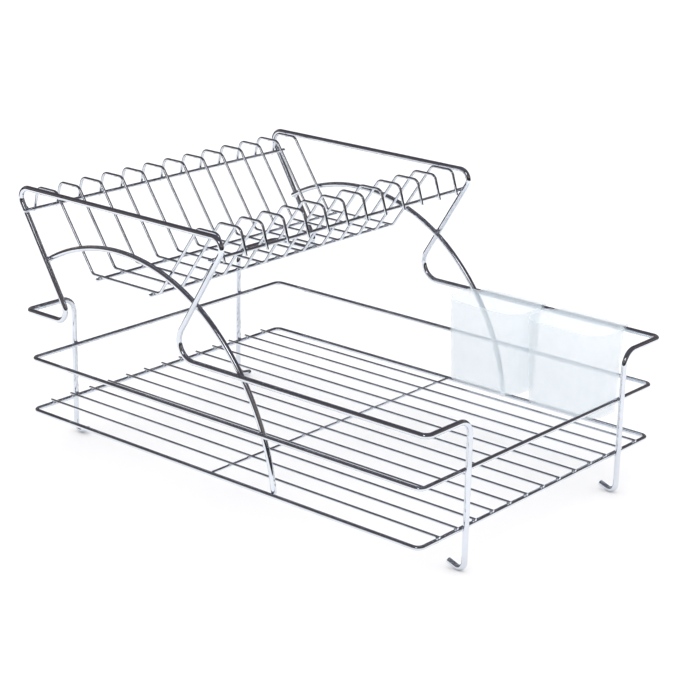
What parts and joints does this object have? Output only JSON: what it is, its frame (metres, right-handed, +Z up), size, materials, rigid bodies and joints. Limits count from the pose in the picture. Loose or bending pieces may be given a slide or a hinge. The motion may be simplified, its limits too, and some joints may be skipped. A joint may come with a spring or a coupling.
{
  "type": "dish drying rack",
  "caption": "Two-tier wire dish rack with a leaning plate cradle above one end of a railed tray and two cutlery cups hung on the back rail.",
  "frame": {"origin": "middle of the rack's footprint, on the floor that its four feet stand on", "axes": "+X along the rack from the plate cradle to the cutlery cups, +Y across it towards the rail that the cups hang on, +Z up"},
  "size_m": [0.467, 0.343, 0.2485],
  "materials": {
    "chrome_wire": "polished",
    "translucent_plastic": "satin"
  },
  "bodies": {
    "rack": {"side_wire_front": "chrome_wire", "side_wire_back": "chrome_wire", "arch_wire_front": "chrome_wire", "arch_wire_back": "chrome_wire", "guard_ring": "chrome_wire", "tray_ring": "chrome_wire", "tray_cross_wire": "chrome_wire", "tray_wire_01": "chrome_wire", "tray_wire_02": "chrome_wire", "tray_wire_03": "chrome_wire", "tray_wire_04": "chrome_wire", "tray_wire_05": "chrome_wire", "tray_wire_06": "chrome_wire", "tray_wire_07": "chrome_wire", "tray_wire_08": "chrome_wire", "tray_wire_09": "chrome_wire", "tray_wire_10": "chrome_wire", "tray_wire_11": "chrome_wire", "tray_wire_12": "chrome_wire", "tray_wire_13": "chrome_wire", "plate_rail_left": "chrome_wire", "plate_rail_right": "chrome_wire", "plate_bottom_rail_left": "chrome_wire", "plate_bottom_rail_right": "chrome_wire", "plate_wire_01": "chrome_wire", "plate_wire_02": "chrome_wire", "plate_wire_03": "chrome_wire", "plate_wire_04": "chrome_wire", "plate_wire_05": "chrome_wire", "plate_wire_06": "chrome_wire", "plate_wire_07": "chrome_wire", "plate_wire_08": "chrome_wire", "plate_wire_09": "chrome_wire", "plate_wire_10": "chrome_wire", "plate_wire_11": "chrome_wire", "plate_wire_12": "chrome_wire", "plate_wire_13": "chrome_wire"},
    "cup_left": {"cutlery_cup_left": "translucent_plastic"},
    "cup_right": {"cutlery_cup_right": "translucent_plastic"}
  },
  "joints": [
    {"name": "cup_left_lift", "type": "slide", "parent": "rack", "child": "cup_left", "axis": [0, 0, 1], "range_m": [0, 0.1]},
    {"name": "cup_right_lift", "type": "slide", "parent": "rack", "child": "cup_right", "axis": [0, 0, 1], "range_m": [0, 0.1]}
  ]
}
